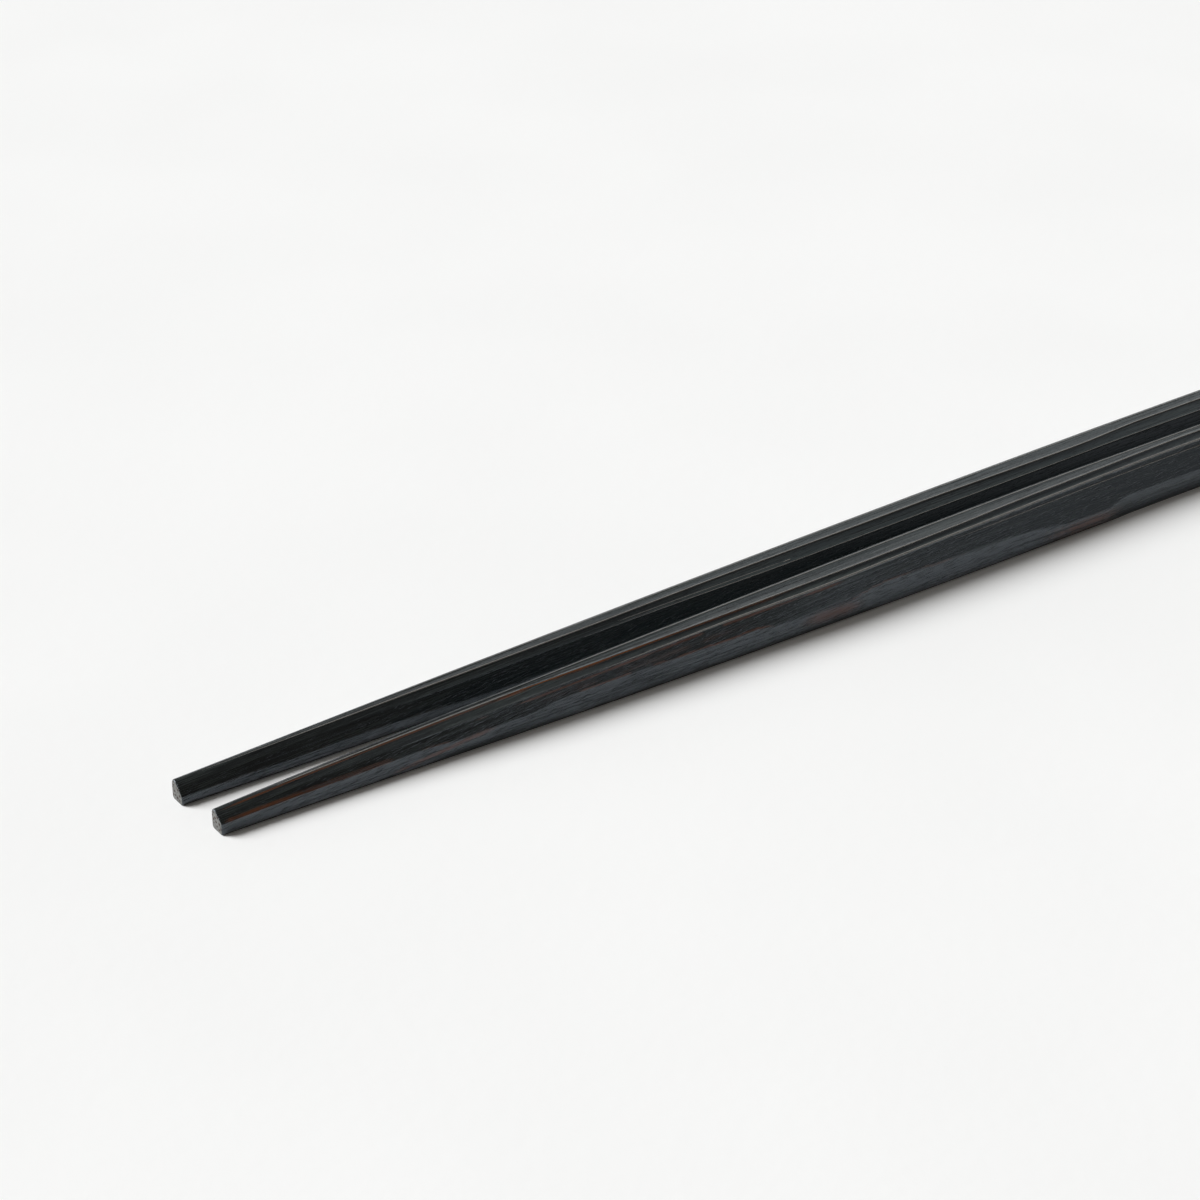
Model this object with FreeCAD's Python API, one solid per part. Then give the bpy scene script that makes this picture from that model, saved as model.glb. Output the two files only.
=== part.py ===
import FreeCAD, Part

import math
import os
from dataclasses import dataclass

# A pair of black lacquered bamboo chopsticks, each shaved by hand from one piece of bamboo.
# They lie side by side on their planed undersides, tips at -X, the near stick at -Y.
# All sizes are in millimetres. The origin is under the middle of the pair.

# Length and thickness of each stick.
stick_length = 230.0
tip_width = 2.65
tip_height = 2.85
near_head_width = 6.75
rear_head_width = 6.9
head_height = 6.6

# How the pair lies: distance between the two axes at the tips, and the angle by which the rear
# stick closes towards the near one.
tip_spacing = 8.4
closing_angle = 0.12
rear_tip_lead = 0.85

# Small forms at the ends and along the edges.
tip_edge_cut = 0.14
head_dome_length = 1.5
head_dome_inset = 1.0
head_dome_turn = 80.0
head_dome_steps = 4
ridge_back_width = 0.42
ridge_front_width = 0.12
ridge_height = 0.13

# The ridges and the hollows between them come up over this length from the smooth tip.
ridge_rise_start = 8.0
ridge_rise_end = 50.0
least_ridge_share = 0.3

# Softness of the corners, as a share of half the stick's thickness. The tip is rubbed rounder than
# the rest, over the given length.
corner_softness = 0.12
cheek_softness = 0.60
tip_softness = 0.26
tip_wear_length = 45.0

# How high above the surface the knife sets off for a stroke along the lower near side.
stroke_clearance = 0.30

# The underside is planed flat by this much.
sole_depth = 0.04

# Stations of each loft, counted from the tip.
station_count = 10
stroke_points = 20


def along_knots(knots, at):
    """Value at a distance on a smooth line through a few points, each a distance and a value."""
    if at <= knots[0][0]:
        return knots[0][1]
    if at >= knots[-1][0]:
        return knots[-1][1]
    slopes = [0.0] * len(knots)
    for index in range(1, len(knots) - 1):
        (behind, low), (ahead, high) = knots[index - 1], knots[index + 1]
        slopes[index] = (high - low) / (ahead - behind)
    number = max(index for index, knot in enumerate(knots) if knot[0] <= at)
    (first, low), (second, high) = knots[number], knots[number + 1]
    run = second - first
    share = (at - first) / run
    return (
        (2 * share**3 - 3 * share**2 + 1) * low
        + (share**3 - 2 * share**2 + share) * run * slopes[number]
        + (3 * share**2 - 2 * share**3) * high
        + (share**3 - share**2) * run * slopes[number + 1]
    )


def ease(share):
    """Smooth step from 0 to 1."""
    held = min(max(share, 0.0), 1.0)
    return held * held * (3.0 - 2.0 * held)


@dataclass(frozen=True)
class Stroke:
    """One knife stroke: where it starts from the tip, how far it runs, how deep it goes, the angle
    in degrees from straight up to the way the shaved face looks, and over what lengths the blade
    goes in and comes out."""

    start: float
    length: float
    depth: float
    face_angle: float
    entry: float
    leave: float

    def bite(self, along):
        """How far the blade is in, from 0 to 1."""
        return ease((along - self.start) / self.entry) * ease((self.start + self.length - along) / self.leave)


@dataclass(frozen=True)
class Corner:
    """One corner of the section, in shares of half the width and half the height, each as a smooth
    line along the stick. The face after it is hollowed by the given depth."""

    across: tuple
    up: tuple
    softness: float
    has_ridge: bool = False
    hollow: float = 0.0


@dataclass(frozen=True)
class Stick:
    """What differs between the two sticks. The places of the edges are smooth lines along the
    stick, and the bow is how far it leans to the near side."""

    name: str
    head_width: float
    taper_length: float
    taper_power: float
    back_edge: tuple
    strip_edge: tuple
    shoulder_edge: tuple
    shoulder_height: tuple
    cheek_edge: tuple
    cheek_height: tuple
    foot_edge: tuple
    sole_edge: tuple
    bow: tuple
    back_softness: float
    strip_hollow: float
    flute_hollow: float
    strokes: tuple


near_stick = Stick(
    name="front_chopstick",
    head_width=near_head_width,
    taper_length=140.0,
    taper_power=1.62,
    back_edge=((0, -0.80), (40, -0.83)),
    strip_edge=((0, -0.42), (20, -0.28), (50, -0.03), (94, 0.15), (125, -0.05), (160, -0.31)),
    shoulder_edge=((0, 0.25), (40, 0.515), (73, 0.44), (98, 0.50), (126, 0.35), (156, 0.16)),
    shoulder_height=((0, 0.62), (40, 0.84), (100, 0.91), (160, 0.93)),
    cheek_edge=((0, 0.86), (90, 0.92), (138, 0.94)),
    cheek_height=((0, 0.15), (36, 0.0), (90, -0.084), (138, -0.32)),
    foot_edge=((0, 0.92), (25, 1.00), (55, 1.04), (110, 1.04), (140, 1.00)),
    sole_edge=((0, 0.72), (25, 0.83), (55, 0.94), (110, 0.94), (140, 0.90)),
    bow=((0, 0.0), (70, 0.48), (100, 0.48), (120, 0.40), (165, 0.15), (230, 0.0)),
    back_softness=0.50,
    strip_hollow=0.06,
    flute_hollow=0.13,
    strokes=(
        Stroke(start=-8.0, length=44.0, depth=0.10, face_angle=80.0, entry=6.0, leave=22.0),
        Stroke(start=26.0, length=62.0, depth=0.12, face_angle=76.0, entry=22.0, leave=10.0),
        Stroke(start=87.0, length=62.0, depth=0.28, face_angle=76.0, entry=18.0, leave=28.0),
        Stroke(start=136.0, length=68.0, depth=0.46, face_angle=85.0, entry=9.0, leave=25.0),
    ),
)

rear_stick = Stick(
    name="rear_chopstick",
    head_width=rear_head_width,
    taper_length=198.0,
    taper_power=1.70,
    back_edge=((0, -0.80), (80, -0.82), (110, -0.88), (160, -0.91)),
    strip_edge=((0, -0.42), (15, -0.20), (38, -0.06), (58, 0.05), (90, -0.05), (140, 0.05), (158, -0.13)),
    shoulder_edge=((0, 0.25), (40, 0.45), (70, 0.46), (90, 0.56), (110, 0.52), (135, 0.47), (160, 0.40)),
    shoulder_height=((0, 0.62), (40, 0.70), (100, 0.72), (160, 0.80)),
    cheek_edge=((0, 0.89),),
    cheek_height=((0, -0.10), (25, -0.05), (45, -0.40), (90, -0.50)),
    foot_edge=((0, 0.92), (25, 1.00)),
    sole_edge=((0, 0.72), (25, 0.83), (45, 0.90)),
    bow=((0, 0.0),),
    back_softness=0.35,
    strip_hollow=0.05,
    flute_hollow=0.03,
    strokes=(
        Stroke(start=-8.0, length=52.0, depth=0.05, face_angle=80.0, entry=6.0, leave=30.0),
        Stroke(start=84.0, length=60.0, depth=0.22, face_angle=78.0, entry=16.0, leave=30.0),
        Stroke(start=146.0, length=60.0, depth=0.26, face_angle=80.0, entry=16.0, leave=30.0),
    ),
)


def thickness(stick, along, tip_size, head_size):
    """Width or height of a stick at a distance from its tip."""
    part_way = min(max(along / stick.taper_length, 0.0), 1.0)
    growth = 1.0 - (1.0 - part_way) ** stick.taper_power
    return tip_size + (head_size - tip_size) * growth


def corners(stick):
    """Corners of the section in order, from the rear top edge over the near side to the rear."""
    return (
        Corner(stick.back_edge, ((0, 0.96),), stick.back_softness, hollow=stick.strip_hollow),
        Corner(stick.strip_edge, ((0, 1.00),), corner_softness, has_ridge=True, hollow=stick.flute_hollow),
        Corner(stick.shoulder_edge, stick.shoulder_height, corner_softness, has_ridge=True),
        Corner(stick.cheek_edge, stick.cheek_height, cheek_softness),
        Corner(stick.foot_edge, ((0, -0.72), (25, -0.82), (45, -0.90)), corner_softness),
        Corner(stick.sole_edge, ((0, -1.00),), corner_softness),
        Corner(((0, -0.80),), ((0, -1.00),), corner_softness),
        Corner(((0, -1.00),), ((0, -0.80),), corner_softness),
        Corner(((0, -1.00),), ((0, 0.66),), corner_softness),
    )


def section_points(stick, along, inset):
    """Corner points of the section at a distance from the tip, as vectors in the YZ plane."""
    half_width = thickness(stick, along, tip_width, stick.head_width) / 2
    half_height = thickness(stick, along, tip_height, head_height) / 2
    return [
        FreeCAD.Vector(
            along,
            -along_knots(stick.bow, along) - along_knots(corner.across, along) * (half_width - inset),
            half_height - sole_depth + along_knots(corner.up, along) * (half_height - inset),
        )
        for corner in corners(stick)
    ]


def section(stick, along, at, inset=0.0):
    """Closed outline of the stick at a distance from the tip, set at the X position `at`."""
    points = section_points(stick, along, inset)
    half_size = thickness(stick, along, tip_width, stick.head_width) / 2
    size_share = half_size / (stick.head_width / 2)
    risen = ease((along - ridge_rise_start) / (ridge_rise_end - ridge_rise_start))
    relief_share = size_share * (least_ridge_share + (1 - least_ridge_share) * risen)
    wear = max(1.0 - along / tip_wear_length, 0.0)
    edges = []
    first_point = None
    last_point = None
    hollow = 0.0
    for index, corner in enumerate(corners(stick)):
        vertex = points[index]
        before = (points[index - 1] - vertex).normalize()
        after = (points[(index + 1) % len(points)] - vertex).normalize()
        outward = (before + after).normalize() * -1
        half_turn = (math.pi - before.getAngle(after)) / 2
        if corner.has_ridge:
            start = vertex + before * ridge_back_width * relief_share
            end = vertex + after * ridge_front_width * relief_share
            middle = vertex + outward * ridge_height * relief_share
        else:
            softness = corner.softness + (tip_softness - corner.softness) * wear
            radius = softness * (half_size - inset)
            reach = radius * math.tan(half_turn)
            start = vertex + before * reach
            end = vertex + after * reach
            middle = vertex - outward * radius * (1 / math.cos(half_turn) - 1)
        if last_point is None:
            first_point = start
        elif hollow:
            run = (start - last_point).normalize()
            inward = FreeCAD.Vector(0, run.z, -run.y) * hollow * relief_share
            edges.append(Part.Arc(last_point, (last_point + start) / 2 + inward, start).toShape())
        else:
            edges.append(Part.LineSegment(last_point, start).toShape())
        if corner.has_ridge:
            edges.append(Part.LineSegment(start, middle).toShape())
            edges.append(Part.LineSegment(middle, end).toShape())
        else:
            edges.append(Part.Arc(start, middle, end).toShape())
        last_point = end
        hollow = corner.hollow
    edges.append(Part.LineSegment(last_point, first_point).toShape())
    outline = Part.Wire(edges)
    outline.translate(FreeCAD.Vector(at - along, 0, 0))
    return outline


def shaft(stick):
    """The long tapering body between the softened tip and the domed head."""
    start = tip_edge_cut
    end = stick_length - head_dome_length
    steps = [start + (end - start) * index / (station_count - 1) for index in range(station_count)]
    return Part.makeLoft([section(stick, step, step) for step in steps], True, False)


def tip_end(stick):
    """The last short length at the tip, whose edges are slightly broken."""
    outlines = [
        section(stick, tip_edge_cut, 0.0, inset=tip_edge_cut),
        section(stick, tip_edge_cut, tip_edge_cut),
    ]
    return Part.makeLoft(outlines, True, True)


def head_end(stick):
    """The low dome that rounds the head off."""
    foot = stick_length - head_dome_length
    full_turn = math.radians(head_dome_turn)
    outlines = []
    for step in range(head_dome_steps + 1):
        turn = full_turn * step / head_dome_steps
        rise = head_dome_length * math.sin(turn) / math.sin(full_turn)
        inset = head_dome_inset * (1 - math.cos(turn)) / (1 - math.cos(full_turn))
        outlines.append(section(stick, foot, foot + rise, inset))
    return Part.makeLoft(outlines, True, False)


def stroke_tool(stick, stroke):
    """The space that the blade sweeps in one stroke."""
    angle = math.radians(stroke.face_angle)
    outward = FreeCAD.Vector(0, -math.sin(angle), math.cos(angle))
    down_face = FreeCAD.Vector(0, -math.cos(angle), -math.sin(angle))
    blade_path = []
    for index in range(stroke_points + 1):
        along = stroke.start + stroke.length * index / stroke_points
        surface = max(point.dot(outward) for point in section_points(stick, along, 0.0))
        level = surface + stroke_clearance - (stroke_clearance + stroke.depth) * stroke.bite(along)
        blade_path.append(FreeCAD.Vector(along, 0, 0) + outward * level)
    curve = Part.BSplineCurve()
    curve.interpolate(blade_path)
    lift = outward * stick.head_width
    closing = Part.makePolygon([blade_path[-1], blade_path[-1] + lift, blade_path[0] + lift, blade_path[0]])
    profile = Part.Face(Part.Wire([curve.toShape()] + closing.Edges))
    profile.translate(down_face * -2 * stick.head_width)
    return profile.extrude(down_face * 4 * stick.head_width)


def make_stick(stick):
    """One whole stick along +X from its tip, lying on the plane z = 0."""
    body = shaft(stick).fuse([tip_end(stick), head_end(stick)])
    for stroke in stick.strokes:
        body = body.cut(stroke_tool(stick, stroke))
    room = 2 * stick.head_width
    above_table = Part.makeBox(stick_length + 2 * room, 2 * room, room, FreeCAD.Vector(-room, -room, 0))
    return body.common(above_table).removeSplitter()


def place_pair():
    """Both sticks where they lie, with the origin under the middle of the pair."""
    near = make_stick(near_stick)
    rear = make_stick(rear_stick)
    rear.rotate(FreeCAD.Vector(0, 0, 0), FreeCAD.Vector(0, 0, 1), -closing_angle)
    rear.translate(FreeCAD.Vector(-rear_tip_lead, tip_spacing, 0))
    box = near.optimalBoundingBox()
    box.add(rear.optimalBoundingBox())
    to_origin = FreeCAD.Vector(-box.Center.x, -box.Center.y, -box.ZMin)
    near.translate(to_origin)
    rear.translate(to_origin)
    print(f"near tip axis at {to_origin.x:.4f}, {to_origin.y:.4f}")
    return {near_stick.name: near, rear_stick.name: rear}


os.makedirs("parts", exist_ok=True)
for node_name, node_shape in place_pair().items():
    node_shape.exportStep(f"parts/{node_name}.step")
    bounds = node_shape.optimalBoundingBox()
    print(
        f"{node_name}: valid {node_shape.isValid()}, solids {len(node_shape.Solids)}, "
        f"volume {node_shape.Volume:.1f} mm3, size {bounds.XLength:.2f} x {bounds.YLength:.2f} x {bounds.ZLength:.2f}"
    )
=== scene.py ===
"""A pair of black lacquered bamboo chopsticks, hand-shaved, lying on pale paper."""

import logging
import math
import random
from dataclasses import dataclass, field
from enum import Enum, IntEnum

import bmesh
import bpy
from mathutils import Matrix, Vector, noise


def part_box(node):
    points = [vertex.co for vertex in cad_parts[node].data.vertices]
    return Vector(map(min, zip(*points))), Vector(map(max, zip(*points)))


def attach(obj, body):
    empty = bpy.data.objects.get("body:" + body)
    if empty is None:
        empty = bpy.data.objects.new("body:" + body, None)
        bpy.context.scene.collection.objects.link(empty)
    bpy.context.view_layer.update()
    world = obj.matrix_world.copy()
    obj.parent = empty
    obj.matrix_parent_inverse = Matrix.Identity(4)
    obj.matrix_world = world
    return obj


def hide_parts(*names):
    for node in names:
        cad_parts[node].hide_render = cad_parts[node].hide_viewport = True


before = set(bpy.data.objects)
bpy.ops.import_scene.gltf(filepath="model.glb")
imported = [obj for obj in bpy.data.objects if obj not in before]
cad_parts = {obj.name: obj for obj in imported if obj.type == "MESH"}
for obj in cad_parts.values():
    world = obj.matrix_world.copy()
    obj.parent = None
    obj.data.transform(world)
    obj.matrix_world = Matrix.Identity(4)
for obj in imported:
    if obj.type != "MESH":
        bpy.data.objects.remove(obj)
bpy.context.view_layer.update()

LOG = logging.getLogger("chopsticks")
MM = 0.001
BODY = "root"
GRAIN_UV = "grain"
WEAR = "wear"
THICKNESS = "thickness"
UV_PER_METRE = 100.0

# A corner's curve takes this much of the way around on each side of it, counted in corners.
CORNER_REACH = 0.04
# What keeps the noises of the knife's waver and of the wear apart from that of the fibres.
WAVER_SEED = 40
WEAR_SEED = 9
# How many sections shape the softened edge of the tip and the dome of the head, and how far it turns.
EDGE_STEPS = 4
DOME_STEPS = 8
DOME_TURN = math.radians(80)


class Around(IntEnum):
    """Corners of the section in order, from the rear top edge over the near side to the rear."""

    REAR_TOP = 0
    STRIP_EDGE = 1
    SHOULDER = 2
    CHEEK = 3
    NEAR_FOOT = 4
    NEAR_SOLE = 5
    REAR_SOLE = 6
    REAR_FOOT = 7
    REAR_CHEEK = 8


class Signal:
    """A value in a node tree that takes part in ordinary arithmetic."""

    def __init__(self, graph: "Graph", socket: bpy.types.NodeSocket) -> None:
        """Wraps one output socket.

        Args:
            graph: The graph that the socket belongs to.
            socket: The output socket.
        """
        self.graph = graph
        self.socket = socket

    def _maths(self, operation: str, first: object, second: object) -> "Signal":
        """Adds one Math node and returns its result."""
        made = self.graph.node("ShaderNodeMath", {"operation": operation}, {0: first, 1: second})
        return Signal(self.graph, made.outputs[0])

    def __add__(self, other: object) -> "Signal":
        """Sum."""
        return self._maths("ADD", self, other)

    __radd__ = __add__

    def __sub__(self, other: object) -> "Signal":
        """Difference."""
        return self._maths("SUBTRACT", self, other)

    def __rsub__(self, other: object) -> "Signal":
        """Difference from a plain number."""
        return self._maths("SUBTRACT", other, self)

    def __mul__(self, other: object) -> "Signal":
        """Product."""
        return self._maths("MULTIPLY", self, other)

    __rmul__ = __mul__

    def ramp(self, low: float, high: float) -> "Signal":
        """Smooth step from 0 at `low` to 1 at `high`.

        Args:
            low: The value that gives 0.
            high: The value that gives 1.

        Returns:
            The stepped value.
        """
        made = self.graph.node(
            "ShaderNodeMapRange",
            {"interpolation_type": "SMOOTHSTEP"},
            {"Value": self, "From Min": low, "From Max": high},
        )
        return Signal(self.graph, made.outputs["Result"])


class Graph:
    """Short ways to add nodes to a node tree."""

    def __init__(self, tree: bpy.types.NodeTree) -> None:
        """Starts from an empty tree.

        Args:
            tree: The tree to fill, which is cleared first.
        """
        tree.nodes.clear()
        self.tree = tree

    def node(
        self,
        kind: str,
        settings: dict[str, object] | None = None,
        inputs: dict[int | str, object] | None = None,
    ) -> bpy.types.Node:
        """Adds a node, sets it up and feeds its sockets.

        Args:
            kind: The node's type name.
            settings: Properties of the node, set before its sockets.
            inputs: Values, signals or sockets by input name or number.

        Returns:
            The new node.
        """
        made = self.tree.nodes.new(kind)
        for name, value in (settings or {}).items():
            setattr(made, name, value)
        for name, value in (inputs or {}).items():
            target = made.inputs[name]
            if isinstance(value, Signal):
                self.tree.links.new(value.socket, target)
            elif isinstance(value, bpy.types.NodeSocket):
                self.tree.links.new(value, target)
            else:
                target.default_value = value
        return made

    def signal(self, made: bpy.types.Node, output: int | str = 0) -> Signal:
        """Wraps one output of a node."""
        return Signal(self, made.outputs[output])

    def blend(self, share: object, first: object, second: object) -> bpy.types.NodeSocket:
        """Mixes two colours.

        Args:
            share: How much of the second colour is used.
            first: A colour or a colour socket.
            second: A colour or a colour socket.

        Returns:
            The mixed colour's socket.
        """
        made = self.node("ShaderNodeMix", {"data_type": "RGBA"}, {0: share, 6: first, 7: second})
        return made.outputs[2]

    def noise(
        self, vector: object, scale: float, detail: float = 2.0, roughness: float = 0.5
    ) -> Signal:
        """Adds a noise texture.

        Args:
            vector: Where the noise is read.
            scale: How many waves there are in a unit.
            detail: How many finer layers are added.
            roughness: How strong the finer layers are.

        Returns:
            The noise, about 0 to 1.
        """
        made = self.node(
            "ShaderNodeTexNoise",
            {"noise_dimensions": "3D"},
            {"Vector": vector, "Scale": scale, "Detail": detail, "Roughness": roughness},
        )
        return Signal(self, made.outputs["Fac"])

    def stretched(self, vector: object, factors: tuple) -> bpy.types.NodeSocket:
        """Multiplies a vector by a factor on each axis."""
        made = self.node("ShaderNodeVectorMath", {"operation": "MULTIPLY"}, {0: vector, 1: factors})
        return made.outputs[0]

    def object_place(self) -> bpy.types.NodeSocket:
        """Where a point of the surface is, in metres."""
        return self.node("ShaderNodeTexCoord").outputs["Object"]

    def parts(self, vector: object) -> tuple[Signal, Signal, Signal]:
        """The three components of a vector."""
        made = self.node("ShaderNodeSeparateXYZ", inputs={0: vector})
        return tuple(Signal(self, socket) for socket in made.outputs)

    def slanted(
        self, vector: object, slant: float, factors: tuple[float, float]
    ) -> bpy.types.NodeSocket:
        """Leans a flat pattern over.

        Args:
            vector: Where the pattern is read.
            slant: How far Y moves for each unit of X.
            factors: Factors on X and Y, used after the slant.

        Returns:
            The vector to read the pattern at.
        """
        across, up, _ = self.parts(vector)
        leaning = {"X": across * factors[0], "Y": (up + across * slant) * factors[1]}
        return self.node("ShaderNodeCombineXYZ", inputs=leaning).outputs[0]

    def bump(self, strength: float, distance: float, height: Signal) -> bpy.types.NodeSocket:
        """The normal of a surface with this height on it."""
        inputs = {"Strength": strength, "Distance": distance, "Height": height}
        return self.node("ShaderNodeBump", inputs=inputs).outputs["Normal"]

    def surface(self, inputs: dict[str, object]) -> None:
        """Ends a material with a Principled surface that has these inputs."""
        made = self.node("ShaderNodeBsdfPrincipled", inputs=inputs)
        self.node("ShaderNodeOutputMaterial", inputs={"Surface": made.outputs[0]})


def add_object(name: str, data: bpy.types.ID) -> bpy.types.Object:
    """Adds an object with this data to the scene."""
    made = bpy.data.objects.new(name, data)
    bpy.context.scene.collection.objects.link(made)
    return made


def add_mesh(name: str, points: list, edges: list, faces: list) -> bpy.types.Object:
    """Adds a mesh object with these points, edges and faces."""
    mesh = bpy.data.meshes.new(name)
    mesh.from_pydata([tuple(point) for point in points], edges, faces)
    return add_object(name, mesh)


def linear(red: int, green: int, blue: int) -> tuple[float, float, float, float]:
    """Turns a colour as seen on a screen into linear light.

    Args:
        red: Red, 0 to 255.
        green: Green, 0 to 255.
        blue: Blue, 0 to 255.

    Returns:
        The colour with full alpha.
    """

    def channel(value: int) -> float:
        """One channel."""
        share = value / 255
        return share / 12.92 if share <= 0.04045 else ((share + 0.055) / 1.055) ** 2.4

    return (channel(red), channel(green), channel(blue), 1.0)


@dataclass(frozen=True)
class Finish:
    """A finish, which makes one material."""

    name: str

    def paint(self, graph: Graph) -> None:
        """Fills the material's nodes. Each finish has its own way."""
        raise NotImplementedError

    def material(self) -> bpy.types.Material:
        """Makes the material."""
        made = bpy.data.materials.new(self.name)
        made.use_nodes = True
        self.paint(Graph(made.node_tree))
        return made


@dataclass(frozen=True)
class LacquerFinish(Finish):
    """Thin black lacquer wiped over bamboo, with the fibres showing through and worn edges."""

    base: tuple
    # Painted shade: the colour at the very tip, darker than the base, stands in for the shade on the
    # tip's dark faces.
    tip_painted_shade: tuple = linear(8, 11, 11)
    streak: tuple = linear(50, 56, 54)
    pore: tuple = linear(16, 17, 17)
    worn: tuple = linear(92, 50, 17)
    sheen: tuple = (0.80, 0.88, 1.0, 1.0)
    gloss: float = 1.76
    roughness: float = 0.24
    roughness_spread: float = 0.16
    worn_roughness: float = 0.08
    fibre_depth: float = 0.042 * MM
    fine_stretch: tuple = (1.3, 58.0, 1.0)
    coarse_stretch: tuple = (0.3, 15.0, 1.0)
    streak_range: tuple = (0.48, 0.76)
    dash_slant: float = 0.10
    dash_stretch: tuple = (4.0, 50.0)
    dash_range: tuple = (0.58, 0.70)
    # How far from the tip the painted shade takes to fade into the base colour.
    tip_shade_length: float = 90.0 * MM

    def paint(self, graph: Graph) -> None:
        """Fibres and dashes along the grain, with the bamboo's colour where it is worn, and painted
        shade that darkens the lacquer towards the tip.
        """
        grain = graph.node("ShaderNodeUVMap", {"uv_map": GRAIN_UV}).outputs["UV"]
        fine = graph.noise(graph.stretched(grain, self.fine_stretch), 1.0, 3.0, 0.65)
        coarse = graph.noise(graph.stretched(grain, self.coarse_stretch), 1.0, 1.0, 0.5)
        slanted = graph.slanted(grain, self.dash_slant, self.dash_stretch)
        dashes = graph.noise(slanted, 1.0, 1.0, 0.5).ramp(*self.dash_range)
        worn = graph.signal(graph.node("ShaderNodeAttribute", {"attribute_name": WEAR}), "Fac")
        along = graph.parts(grain)[0]
        # Painted shade: the base colour darkens towards the tip.
        tip_shade_end = self.tip_shade_length * UV_PER_METRE
        base_with_tip_shade = graph.blend(along.ramp(0.0, tip_shade_end), self.tip_painted_shade, self.base)
        streaks = (fine * 0.8 + coarse * 0.4).ramp(*self.streak_range)
        streaked = graph.blend(streaks, base_with_tip_shade, self.streak)
        pored = graph.blend(dashes * 0.8, streaked, self.pore)
        colour = graph.blend((worn * (0.5 + 1.0 * fine)).ramp(0.0, 1.0), pored, self.worn)
        height = fine * 0.7 + coarse * 0.9 - dashes * 0.5
        smooth = self.roughness + (fine - 0.5) * self.roughness_spread
        graph.surface({
            "Base Color": colour,
            "Roughness": smooth + worn * self.worn_roughness,
            "Normal": graph.bump(1.0, self.fibre_depth, height),
            "IOR": self.gloss,
            "Specular Tint": self.sheen,
        })


@dataclass(frozen=True)
class EndGrainFinish(Finish):
    """The bare sawn tip of a stick, greyed and clouded."""

    pale: tuple = linear(118, 119, 117)
    dark: tuple = linear(70, 70, 68)
    roughness: float = 0.75
    sawn_depth: float = 0.02 * MM
    flattened: tuple = (0.0, 1.0, 1.0)

    def paint(self, graph: Graph) -> None:
        """Grey clouds with a saw's fine roughness."""
        place = graph.object_place()
        cloud = graph.noise(graph.stretched(place, self.flattened), 1400.0, 3.0, 0.6)
        dust = graph.noise(graph.stretched(place, self.flattened), 9000.0, 2.0, 0.5)
        stains = (cloud * 0.7 + dust * 0.5).ramp(0.4, 0.85)
        graph.surface({
            "Base Color": graph.blend(stains, self.pale, self.dark),
            "Roughness": self.roughness,
            "Normal": graph.bump(0.6, self.sawn_depth, dust + cloud),
        })


@dataclass(frozen=True)
class SpeckFinish(Finish):
    """A plain fibre finish for what is too small to show any pattern but its own clouding."""

    colour: tuple
    clouded: tuple
    roughness: float

    def paint(self, graph: Graph) -> None:
        """Two colours, clouded."""
        cloud = graph.noise(graph.object_place(), 2500.0, 2.0, 0.5)
        colour = graph.blend(cloud, self.colour, self.clouded)
        graph.surface({"Base Color": colour, "Roughness": self.roughness})


@dataclass(frozen=True)
class PaperFinish(Finish):
    """The pale paper that the pair lies on."""

    name: str = "pale_paper"
    colour: tuple = linear(246, 247, 247)
    shaded: tuple = linear(244, 245, 245)
    tooth: float = 0.05 * MM

    def paint(self, graph: Graph) -> None:
        """Pale, faintly clouded and toothed."""
        place = graph.object_place()
        fibres = graph.noise(place, 420.0, 4.0, 0.6)
        cloud = graph.noise(place, 18.0, 2.0, 0.5)
        graph.surface({
            "Base Color": graph.blend(cloud.ramp(0.3, 0.7), self.colour, self.shaded),
            "Roughness": 0.9,
            "Specular IOR Level": 0.1,
            "Normal": graph.bump(0.5, self.tooth, fibres),
        })


class Edge(Enum):
    """How a corner of the section is finished."""

    SOFT = "soft"
    RIDGE = "ridge"


# Pairs of a distance from the tip and the value there.
Knots = tuple[tuple[float, float], ...]


def along_knots(knots: Knots, at: float) -> float:
    """Reads a smooth line through a few chosen points.

    Args:
        knots: Pairs of distance and value, in order.
        at: The distance.

    Returns:
        The value there. It stays level outside the first and last knots.
    """
    if at <= knots[0][0]:
        return knots[0][1]
    if at >= knots[-1][0]:
        return knots[-1][1]
    number = max(index for index, knot in enumerate(knots) if knot[0] <= at)

    def slope(index: int) -> float:
        """Slope of the line at one knot."""
        if index in (0, len(knots) - 1):
            return 0.0
        (behind, low), (ahead, high) = knots[index - 1], knots[index + 1]
        return (high - low) / (ahead - behind)

    (first, low), (second, high) = knots[number], knots[number + 1]
    run = second - first
    share = (at - first) / run
    square, cube = share**2, share**3
    return (
        (2 * cube - 3 * square + 1) * low
        + (cube - 2 * square + share) * run * slope(number)
        + (3 * square - 2 * cube) * high
        + (cube - square) * run * slope(number + 1)
    )


def millimetres(*pairs: tuple[float, float]) -> Knots:
    """Knots whose distances are given in millimetres."""
    return tuple((at * MM, value) for at, value in pairs)


def still(value: float) -> Knots:
    """Knots of a value that is the same all along."""
    return ((0.0, value),)


def ease(share: float) -> float:
    """Smooth step from 0 to 1."""
    held = min(max(share, 0.0), 1.0)
    return held * held * (3.0 - 2.0 * held)


@dataclass(frozen=True)
class Corner:
    """One corner of the section, in shares of half the width and half the height, and its ridge."""

    across: Knots
    up: Knots
    softness: float
    edge: Edge = Edge.SOFT
    ridge_height: float = 0.0


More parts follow.
